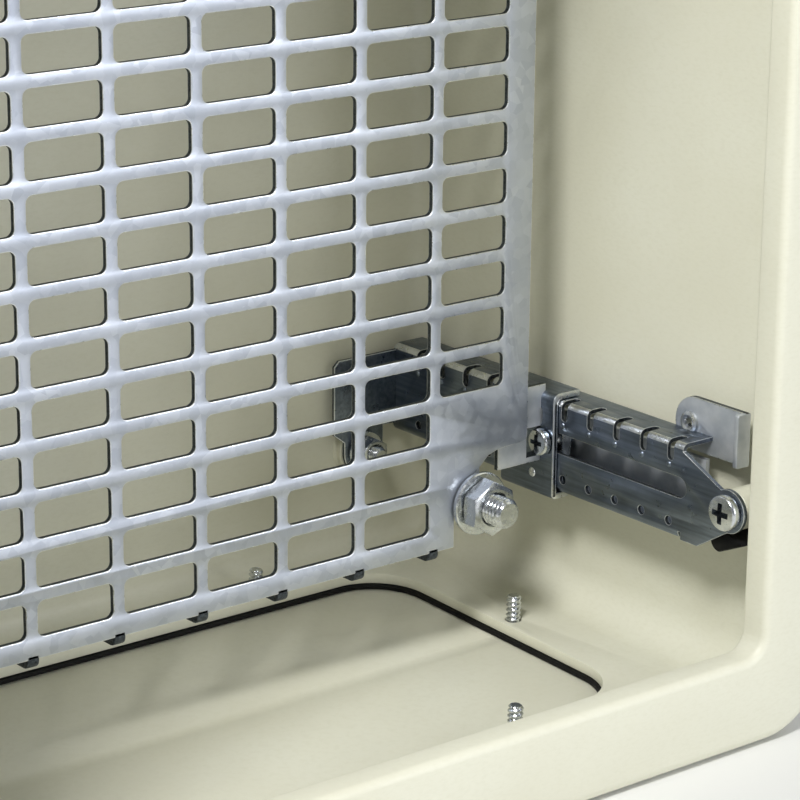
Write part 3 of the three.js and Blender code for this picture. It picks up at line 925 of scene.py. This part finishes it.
def slotted_plate():
    """The plate with its grid of slots, and a turned-back finger at each upright web."""
    outlines = [plate_edge()]
    for column in range(COLUMNS):
        for row in range(ROWS):
            at_side = column in (0, COLUMNS - 1)
            at_end = row < GUSSET_ROWS or row >= ROWS - GUSSET_ROWS
            if at_side and at_end:
                continue
            x = (column - (COLUMNS - 1) / 2) * PITCH_X
            z = (row - (ROWS - 1) / 2) * PITCH_Z
            outlines.append(rounded(SLOT_X / 2, SLOT_Z / 2, SLOT_RADIUS, x, z, 5))
    sheet = flat_blank(outlines, PLATE_THICK, 0.3)
    sheet = moved(sheet, upright_xz(PLATE_FRONT + PLATE_THICK / 2))

    low = -PLATE_HALF_Z - 3
    hook = [(PLATE_FRONT, -PLATE_HALF_Z + 1)]
    hook += arc(PLATE_FRONT + 2.4, low + 2.4, 2.4, 180, 270, 6)
    hook += [(PLATE_FRONT + 7, low), (PLATE_FRONT + 7, low + 2)]
    hook += arc(PLATE_FRONT + 2.6, low + 2.6, 0.6, 270, 180, 3)
    hook += [(PLATE_FRONT + 2, -PLATE_HALF_Z + 1)]
    # Painted shade: each whole finger takes the dark wall finish
    finger = marked(flat_blank([hook], PITCH_X - SLOT_X, 0.3), CUT_AND_SHADE)
    parts = [sheet]
    for web in range(1, COLUMNS):
        x = (web - COLUMNS / 2) * PITCH_X
        drop = moved(finger, upright_yz(x))
        parts += [drop, moved(drop, at_corner(1, -1))]
    return joined(parts)


piece("slotted_plate", slotted_plate(), "galvanised_sheet", "plate_carrier", ["mounting_plate"])

# ---------------------------------------------------------------- slides

RAIL_X = 139
RAIL_THICK = 1.5
RAIL_LOW, RAIL_TOP = -158, -126.5
RAIL_BEND = 2.5
RAIL_FLANGE = 13
RAIL_LOW_FLANGE = 13
RAIL_LIP = 24
RAIL_REAR = -7.3
SHOULDER = -152
FOOT_FACE = -8.8
CLAMP_Y, CLAMP_Z = -89, -141
STEP = 12.5
STEP_PLACES = [-146.5 + STEP * k for k in range(11)]


def bent_slide():
    """The strip is cut flat, slots and holes first, then its two flanges are turned over round
    bends towards the wall, and the lower one is turned up again behind the slide."""
    mid_radius = RAIL_BEND - RAIL_THICK / 2
    top_start, low_start = RAIL_TOP - RAIL_BEND, RAIL_LOW + RAIL_BEND
    bend_length = mid_radius * math.pi / 2
    low_flat = RAIL_LOW_FLANGE - 2 * RAIL_BEND
    lip_start = bend_length + low_flat
    strips = 6
    bend_rows = [bend_length * (i + 1) / strips for i in range(strips)]
    top_rows = bend_rows + [bend_length + RAIL_FLANGE - RAIL_BEND]
    low_rows = bend_rows + [lip_start] + [lip_start + row for row in bend_rows]
    low_rows.append(lip_start + bend_length + RAIL_LIP - RAIL_BEND)

    bm = bmesh.new()
    relief_end = SHOULDER + 1
    web = [(RAIL_REAR, low_start), (RAIL_REAR, top_start), (SHOULDER, top_start)]
    web += arc(NOSE[0], NOSE[1], 7, 62, 270, 20)
    web += [(SHOULDER - 7.5, RAIL_LOW), (SHOULDER, RAIL_LOW), (SHOULDER, low_start)]
    web += [(relief_end, low_start)]
    verts = [bm.verts.new((y, z, 0)) for y, z in web]
    bm.faces.new(verts)
    for rear, front, start, way, rows in (
        (verts[1], verts[2], top_start, 1, top_rows),
        (verts[0], verts[-1], low_start, -1, low_rows),
    ):
        for row in rows:
            next_rear = bm.verts.new((rear.co.x, start + way * row, 0))
            next_front = bm.verts.new((front.co.x, start + way * row, 0))
            bm.faces.new((rear, next_rear, next_front, front))
            rear, front = next_rear, next_front
    bmesh.ops.recalc_face_normals(bm, faces=bm.faces)
    grown = bmesh.ops.extrude_face_region(bm, geom=bm.faces[:])
    lifted = [item for item in grown["geom"] if isinstance(item, bmesh.types.BMVert)]
    bmesh.ops.translate(bm, vec=(0, 0, RAIL_THICK), verts=lifted)
    strip = mesh_of(bm)

    slot_top = top_start + bend_length + 4
    slot_low = RAIL_TOP - 6.5
    outlines = [rounded(57, 3.4, 3.39, -97, CLAMP_Z, 8)]
    for y in STEP_PLACES:
        half = (slot_top - slot_low) / 2
        outlines.append(rounded(1.4, half, 1.3, y, slot_low + half, 4))
        outlines.append(circle(y, RAIL_LOW + 5, 1.5, 20))
    outlines.append(circle(NOSE[0], NOSE[1], 2.8, 24))
    cutter = marked(cutter_of(outlines, Matrix.Translation((0, 0, RAIL_THICK / 2)), 3), CUT_AND_SHADE)
    strip = boolean(strip, cutter)

    for vertex in strip.vertices:
        y, s, w = vertex.co
        reach = RAIL_BEND - w
        x, z = RAIL_X + w, s
        for start, way in ((top_start, 1), (low_start, -1)):
            past = (s - start) * way
            if past > 0 and not (way < 0 and y < relief_end - 0.01):
                angle = min(past / mid_radius, math.pi / 2)
                beyond = max(0.0, past - bend_length)
                x = RAIL_X + RAIL_BEND - reach * math.cos(angle) + beyond
                z = start + way * reach * math.sin(angle)
                if way < 0 and past > lip_start:
                    angle = min((past - lip_start) / mid_radius, math.pi / 2)
                    x = RAIL_X + RAIL_LOW_FLANGE - RAIL_BEND + reach * math.sin(angle)
                    z = start - reach * math.cos(angle) + max(0.0, past - lip_start - bend_length)
        vertex.co = (x, y, z)
    strip.update()
    bend_middle = RAIL_TOP - RAIL_BEND
    # Painted reflected light: the lip hidden behind the web, in shade, gets the paler zinc
    behind = RAIL_X + RAIL_LOW_FLANGE - RAIL_THICK - 0.1
    marked(strip, PALE, lambda face: face.center.x > behind and face.center.z < bend_middle)
    # Painted highlight: the faces of the upper bend turned towards the camera get the bright edge
    # finish
    marked(
        strip,
        EDGE,
        lambda face: face.material_index == MAIN
        and face.center.z > bend_middle
        and 0.35 < -face.normal.x < 0.98,
    )
    return softened(strip, 0.3, 40)


def slide_lug():
    """The upright lug at the slide's front: round at the rear round a rolled eyelet, its front end
    turned over."""
    middle = RAIL_TOP + 2.2
    outline = [(-166, middle - 8.7)] + arc(-143.6, middle, 8.7, -90, 90, 18) + [(-166, middle + 8.7)]
    eye = circle(-141.6, middle, 1.9, 24)
    lug = moved(flat_blank([outline, eye], 2.2, 0.3), upright_yz(RAIL_X + RAIL_FLANGE + 0.9))
    marked(lug, PALE, lambda face: face.material_index == MAIN)
    # Painted highlight on the lug's front-facing end faces
    marked(lug, EDGE, lambda face: face.normal.y < -0.9)
    ring = turned([(1.5, 0.2), (1.8, -0.8), (2.7, -1.2), (3.5, -0.8), (3.9, 0.2)], 40, closed=True)
    # Painted highlight on the eyelet ring
    marked(ring, EDGE)
    ring = moved(ring, along((1, 0, 0), (RAIL_X + RAIL_FLANGE - 0.2, -141.6, middle)))
    end_outline = rounded(2.8, 8.7, 0.8, RAIL_X + RAIL_FLANGE - 0.8, middle)
    turned_end = marked(flat_blank([end_outline], 2, 0.4), PALE)
    turned_end = moved(turned_end, upright_xz(-165.2))
    return joined([lug, ring, turned_end])


def slide_foot():
    """The slide's rear end, turned in against the back wall, with an ear for the stud."""
    left = RAIL_X - 27
    outline = [(RAIL_X + RAIL_THICK, RAIL_TOP - 2), (left + 2, RAIL_TOP - 2), (left, RAIL_TOP - 4)]
    outline += [(left, RAIL_LOW + 3), (REAR_STUD[0] - 8.5, REAR_STUD[1] + 4)]
    outline += arc(REAR_STUD[0], REAR_STUD[1], 8.5, 180, 360, 20)
    outline += [(REAR_STUD[0] + 8.5, RAIL_LOW + 3), (RAIL_X + RAIL_THICK, RAIL_LOW + 3)]
    hole = circle(REAR_STUD[0], REAR_STUD[1], 3.3, 24)
    return moved(flat_blank([outline, hole], RAIL_THICK, 0.3), upright_xz(FOOT_FACE + RAIL_THICK / 2))


def slide_dimples():
    """Small raised pips on the web, one under each step slot."""
    pip = turned([(0, 0.6), (0.5, 0.5), (0.95, 0.2), (1.15, -0.2), (0, -0.2)][::-1], 20)
    return joined(
        [moved(pip, along((-1, 0, 0), (RAIL_X, y + 0.6, RAIL_TOP - 8.0))) for y in STEP_PLACES]
    )


slide_mesh = joined([bent_slide(), slide_lug(), slide_foot(), slide_dimples()])

# ---------------------------------------------------------------- carriages

CARRIAGE_FRONT, CARRIAGE_REAR = -94, -68
CHEEK_OUTER, CHEEK_INNER = 136.7, 138.7


def bent_carriage():
    """A sheet cheek with a lip over the slide's flange and a lip under its web, and a foot behind
    the plate that carries the large stud."""
    top, low = RAIL_TOP + GAP + 2, RAIL_LOW - GAP - 2
    bend = 2.6
    profile = [(144, low), (144, RAIL_LOW - GAP), (CHEEK_INNER, RAIL_LOW - GAP)]
    profile += [(CHEEK_INNER, RAIL_TOP - 1.6)]
    profile += arc(CHEEK_INNER + 1.4, RAIL_TOP - 1.1, 1.4, 180, 100, 5)
    profile += [(148, RAIL_TOP + GAP), (148, top)]
    profile += arc(CHEEK_OUTER + bend, top - bend, bend, 90, 180, 8)
    profile += arc(CHEEK_OUTER + 2, low + 2, 2, 180, 270, 6)
    middle = (CARRIAGE_FRONT + CARRIAGE_REAR) / 2
    sleeve = flat_blank([profile], CARRIAGE_REAR - CARRIAGE_FRONT, 0.35, MAIN)
    # Painted highlight on the sleeve's front and rear end faces
    sleeve = moved(marked(sleeve, EDGE, lambda face: abs(face.normal.z) > 0.5), upright_xz(middle))
    shank_bore = turned([(0, -4), (3.3, -4), (3.3, 4), (0, 4)], 32)
    head_bore = turned([(0, -6), (5.2, -6), (5.2, 0), (0, 0)], 40)
    window = flat_blank([rounded(7.75, 2.9, 1.0, -80.75, -132.6)], 4, 0.01)
    cutters = [
        moved(shank_bore, along((1, 0, 0), (138, CLAMP_Y, CLAMP_Z))),
        moved(head_bore, along((1, 0, 0), (CHEEK_OUTER, CLAMP_Y, CLAMP_Z))),
        moved(window, upright_yz(CHEEK_OUTER + 0.1)),
        block(CHEEK_OUTER + 0.7, CHEEK_OUTER + 1.3, -95, -93.3, low + 1, RAIL_TOP - 1),
    ]
    for cutter in cutters:
        sleeve = boolean(sleeve, marked(cutter, CUT_AND_SHADE))

    ear = arc(STUD[0], STUD[1], 8, 140, 360, 24)
    outline = [
        (CHEEK_INNER, STUD[1] + 8),
        (CHEEK_INNER, STUD[1] + 34),
        (STUD[0] - 14, STUD[1] + 34),
        (STUD[0] - 14, STUD[1] + 14),
        *ear,
        (STUD[0] + 8, STUD[1] + 5),
        (STUD[0] + 3, STUD[1] + 9),
        (STUD[0] + 2, STUD[1] + 17),
        (STUD[0] + 10.5, STUD[1] + 17),
        (STUD[0] + 10.5, STUD[1] + 8),
    ]
    hole = circle(STUD[0], STUD[1], 5.3, 32)
    foot_middle = PLATE_FRONT + PLATE_THICK + GAP + 1
    foot = moved(flat_blank([outline, hole], 2, 0.3), upright_xz(foot_middle))
    marked(foot, PALE, lambda face: face.material_index == MAIN)
    foot = boolean(foot, cutters[1])
    pip = turned([(0, 0.5), (0.9, 0.42), (1.5, 0.15), (1.8, -0.4), (0, -0.4)][::-1], 28)
    # Painted highlight on the pip
    pip = moved(marked(pip, EDGE), along((-1, 0, 0), (CHEEK_OUTER, -84, RAIL_LOW + 5)))
    return joined([sleeve, foot, pip])


carriage_mesh = bent_carriage()


def nose_plug():
    """A rubber plug with a teardrop outline under the slide's nose."""
    y, z = NOSE[0] + 5.5, NOSE[1] - 11.5
    outline = arc(y, z, 3.8, -90, 110, 20)
    outline += [(y - 10.4, z + 2.1), (y - 11, z + 1.4), (y - 10.4, z + 0.9)]
    return moved(flat_blank([outline], 12, 0.8), upright_yz(RAIL_X + 8))


plug_mesh = nose_plug()

# ---------------------------------------------------------------- fasteners

UNDER_HEAD = RAIL_X - GAP
REAR_WASHER_FACE = FOOT_FACE - GAP - 1.2
front_screw = pan_screw(5.8, 3.4, 2.5, 12.5, 0.9)
rear_stud = threaded(3, 1.0, 16.3, 0.55, 0.7, 36)
rear_washer = ring_washer(7, 3.3, 1.2)
rear_nut = hexagon_nut(10, 5, 3.3)
clamp_screw = pan_screw(4.6, 3.0, 3.0, 11.6, 1.0)
clamp_nut = softened(
    boolean(block(-5, 5, -5, 5, 0, 4), turned([(0, -1), (3.3, -1), (3.3, 5), (0, 5)], 32)), 0.4
)
plate_stud = threaded(5, 1.6, 23.6, 1.0, 1.2, 48)
stud_head = turned([(0, 0), (7.2, 0), (7.5, 0.3), (7.5, 2.5), (7.0, 3.0), (0, 3.0)], 56)
plate_washer = ring_washer(10.5, 5.3, 2.0, 0.4)
plate_nut = hexagon_nut(16, 6.4, 5.3)

for corner, (side, up) in CORNERS.items():
    mirror = at_corner(side, up)

    def fixed(name, mesh, slot, node):
        piece(f"{name}_{corner}", mesh, slot, "enclosure", [f"{node}_{corner}"])

    def sliding(name, mesh, slot, node, main=None):
        piece(f"{name}_{corner}", mesh, slot, "plate_carrier", [f"{node}_{corner}"], main=main)

    rear = (side * REAR_STUD[0], up * REAR_STUD[1])
    stud = (side * STUD[0], up * STUD[1])
    inward = (-side, 0, 0)
    forward = (0, -1, 0)
    fixed("depth_slide", moved(slide_mesh, mirror), "slide_steel", "slide")
    fixed(
        "slide_screw",
        moved(front_screw, along(inward, (side * UNDER_HEAD, NOSE[0], up * NOSE[1]))),
        "zinc_plate",
        "front_screw",
    )
    fixed(
        "wall_stud",
        moved(rear_stud, along(forward, (rear[0], -2.3, rear[1]))),
        "zinc_plate",
        "rear_stud",
    )
    fixed(
        "wall_washer",
        moved(rear_washer, along(forward, (rear[0], FOOT_FACE - GAP, rear[1]))),
        "zinc_plate",
        "rear_washer",
    )
    fixed(
        "wall_nut",
        moved(rear_nut, along(forward, (rear[0], REAR_WASHER_FACE - GAP, rear[1]))),
        "zinc_plate",
        "rear_nut",
    )
    fixed("rubber_plug", moved(plug_mesh, mirror), "black_rubber", "nose_plug")
    sliding(
        "plate_carriage",
        moved(carriage_mesh, mirror),
        "galvanised_sheet",
        "carriage",
        FINISHES["slide_steel"],
    )
    sliding(
        "clamp_bolt",
        moved(clamp_screw, along(inward, (side * 136.4, CLAMP_Y, up * CLAMP_Z))),
        "zinc_plate",
        "clamp_screw",
    )
    sliding(
        "square_nut",
        moved(clamp_nut, along((side, 0, 0), (side * 140.8, CLAMP_Y, up * CLAMP_Z))),
        "zinc_plate",
        "clamp_nut",
    )
    big_stud = joined([plate_stud, stud_head])
    sliding(
        "plate_bolt",
        moved(big_stud, along(forward, (stud[0], -82.4, stud[1]))),
        "zinc_plate",
        "plate_stud",
    )
    sliding(
        "large_washer",
        moved(plate_washer, along(forward, (stud[0], -90.3, stud[1]))),
        "zinc_plate",
        "plate_washer",
    )
    sliding(
        "large_nut",
        moved(plate_nut, along(forward, (stud[0], -92.6, stud[1]))),
        "zinc_plate",
        "plate_nut",
    )

# ---------------------------------------------------------------- floor


def studio_floor():
    bm = bmesh.new()
    bmesh.ops.create_grid(bm, x_segments=1, y_segments=1, size=4)
    bmesh.ops.translate(bm, vec=(0, 0, TUB_LOW.z - 0.0005), verts=bm.verts)
    mesh = new_mesh(bm)
    mesh.materials[0] = pale_floor()
    floor = bpy.data.objects.new("floor", mesh)
    bpy.context.scene.collection.objects.link(floor)


studio_floor()
bpy.context.view_layer.update()
